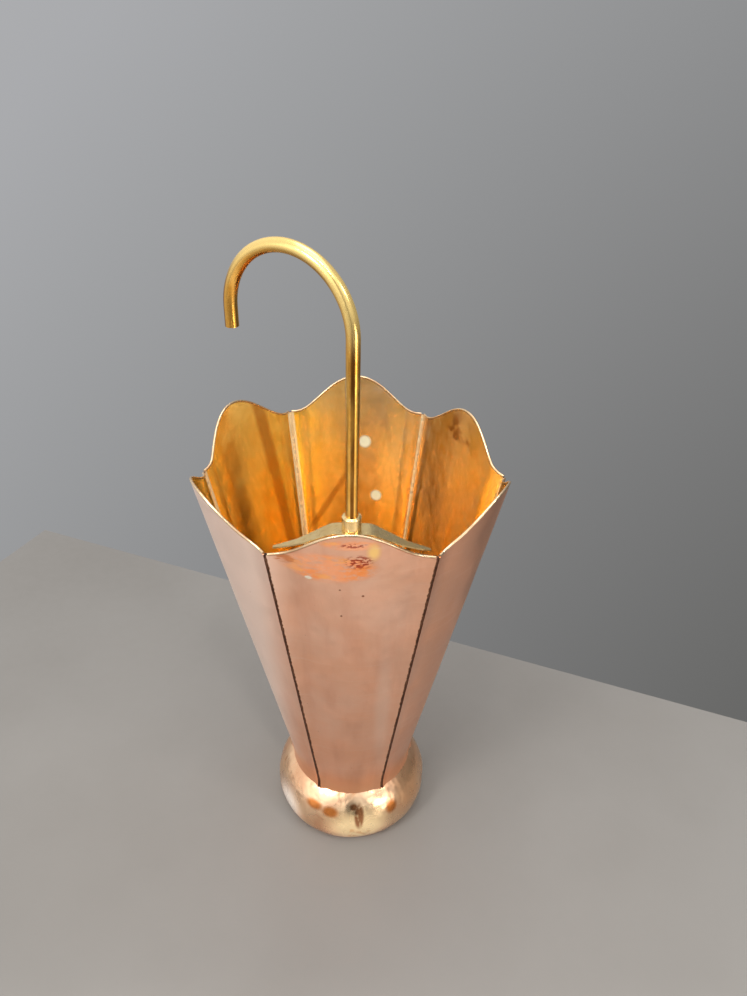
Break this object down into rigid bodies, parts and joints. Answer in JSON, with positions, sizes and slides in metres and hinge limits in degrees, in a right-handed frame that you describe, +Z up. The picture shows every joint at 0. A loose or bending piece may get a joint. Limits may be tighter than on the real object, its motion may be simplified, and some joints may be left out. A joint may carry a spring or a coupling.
{
  "type": "umbrella stand",
  "caption": "Tapered copper vessel shaped like an upturned umbrella with a scalloped rim, a round spun foot and a brass crook handle on an arched strap.",
  "frame": {"origin": "on the vessel's vertical axis, in the plane of the foot's underside", "axes": "+Z up along the vessel's axis; -Y towards the front panel, where the strap and the handle's foot are; +X to the right seen from the front"},
  "size_m": [0.2723, 0.2699, 0.6725],
  "materials": {
    "copper_sheet": "polished copper, slightly hazed, with fine scratches and heat stains",
    "brass_wire": "bright wire, worn pale",
    "seam_solder": "darkened solder and patina",
    "foot_copper": "bright polished copper",
    "base_copper": "dull copper with tarnish",
    "strap_brass": "satin brass",
    "handle_brass": "polished brass",
    "collar_brass": "polished brass",
    "plug_brass": "turned brass",
    "fixing_steel": "plated steel",
    "washer_brass": "plain brass"
  },
  "bodies": {
    "root": {"panel_front": "copper_sheet", "panel_front_right": "copper_sheet", "panel_back_right": "copper_sheet", "panel_back": "copper_sheet", "panel_back_left": "copper_sheet", "panel_front_left": "copper_sheet", "rim_wire": "brass_wire", "seam_solder": "seam_solder", "foot_ring": "foot_copper", "base_plate": "base_copper", "strap": "strap_brass", "handle_tube": "handle_brass", "collar": "collar_brass", "handle_plug": "plug_brass", "fixing_screw": "fixing_steel", "screw_washer": "washer_brass"}
  },
  "joints": []
}
